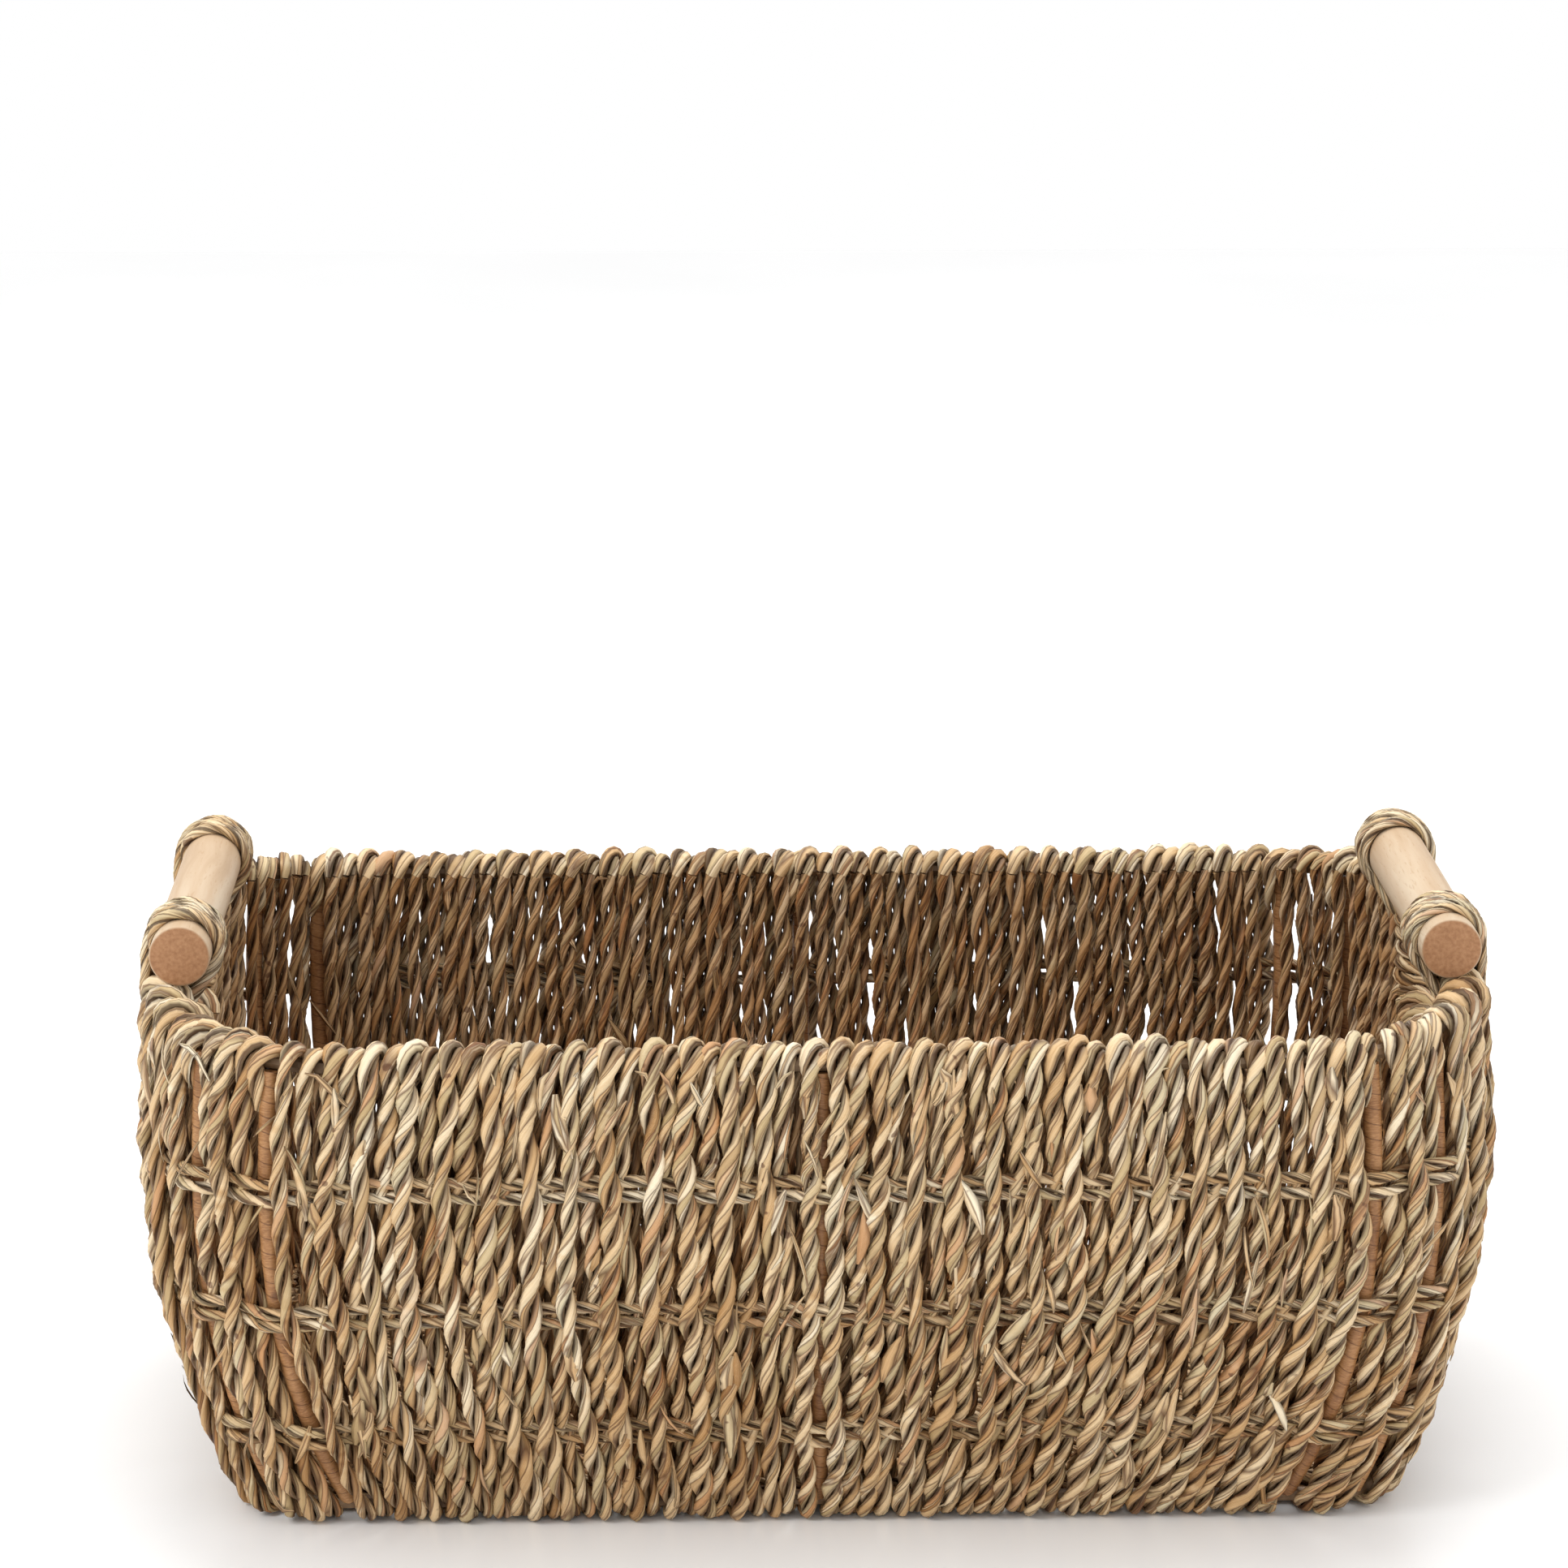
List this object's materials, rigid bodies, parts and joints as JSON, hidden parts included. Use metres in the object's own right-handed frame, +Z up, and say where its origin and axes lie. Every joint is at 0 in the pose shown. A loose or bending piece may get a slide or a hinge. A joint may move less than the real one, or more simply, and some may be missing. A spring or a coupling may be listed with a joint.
{
  "type": "storage basket",
  "caption": "Rectangular seagrass storage basket on a hidden wire frame, with rounded corners, flared walls and a wooden dowel handle over a hand opening at each end.",
  "frame": {"origin": "middle of the footprint, on the surface the basket stands on", "axes": "+X along the basket's length, towards one handle; +Y across its width; +Z up"},
  "size_m": [0.417, 0.2548, 0.1914],
  "materials": {
    "seagrass": "matte twisted seagrass cord",
    "rim_cord": "matte twisted seagrass cord, paler on the rim",
    "lashing_cord": "matte twisted seagrass cord",
    "hoop_strand": "matte seagrass strands",
    "rib_tape": "brown paper tape wound round wire",
    "frame_wire": "plain drawn wire",
    "dowel_wood": "pale sanded wood, unvarnished"
  },
  "bodies": {
    "root": {"rim_wire": "frame_wire", "base_wire": "frame_wire", "rib_front_left": "rib_tape", "rib_front_centre": "rib_tape", "rib_front_right": "rib_tape", "rib_back_left": "rib_tape", "rib_back_centre": "rib_tape", "rib_back_right": "rib_tape", "rib_corner_front_left": "rib_tape", "rib_corner_front_right": "rib_tape", "rib_corner_back_left": "rib_tape", "rib_corner_back_right": "rib_tape", "rib_left_front": "rib_tape", "rib_left_centre": "rib_tape", "rib_left_back": "rib_tape", "rib_right_front": "rib_tape", "rib_right_centre": "rib_tape", "rib_right_back": "rib_tape", "hoop_lower": "hoop_strand", "hoop_middle": "hoop_strand", "hoop_upper": "hoop_strand", "floor_bar_1": "rib_tape", "floor_bar_2": "rib_tape", "floor_bar_3": "rib_tape", "floor_bar_4": "rib_tape", "floor_bar_5": "rib_tape", "floor_bar_6": "rib_tape", "floor_bar_7": "rib_tape", "floor_lower": "seagrass", "floor_upper": "seagrass", "outer_weave_front": "seagrass", "outer_weave_back": "seagrass", "outer_weave_left": "seagrass", "outer_weave_right": "seagrass", "inner_weave_front": "seagrass", "inner_weave_back": "seagrass", "inner_weave_left": "seagrass", "inner_weave_right": "seagrass", "rim_roll_front": "rim_cord", "rim_roll_back": "rim_cord", "shoulder_roll_left_front": "rim_cord", "shoulder_roll_left_back": "rim_cord", "shoulder_roll_right_front": "rim_cord", "shoulder_roll_right_back": "rim_cord", "opening_roll_left": "rim_cord", "opening_roll_right": "rim_cord", "dowel_left": "dowel_wood", "dowel_right": "dowel_wood", "lashing_left_front": "lashing_cord", "lashing_left_back": "lashing_cord", "lashing_right_front": "lashing_cord", "lashing_right_back": "lashing_cord"}
  },
  "joints": []
}
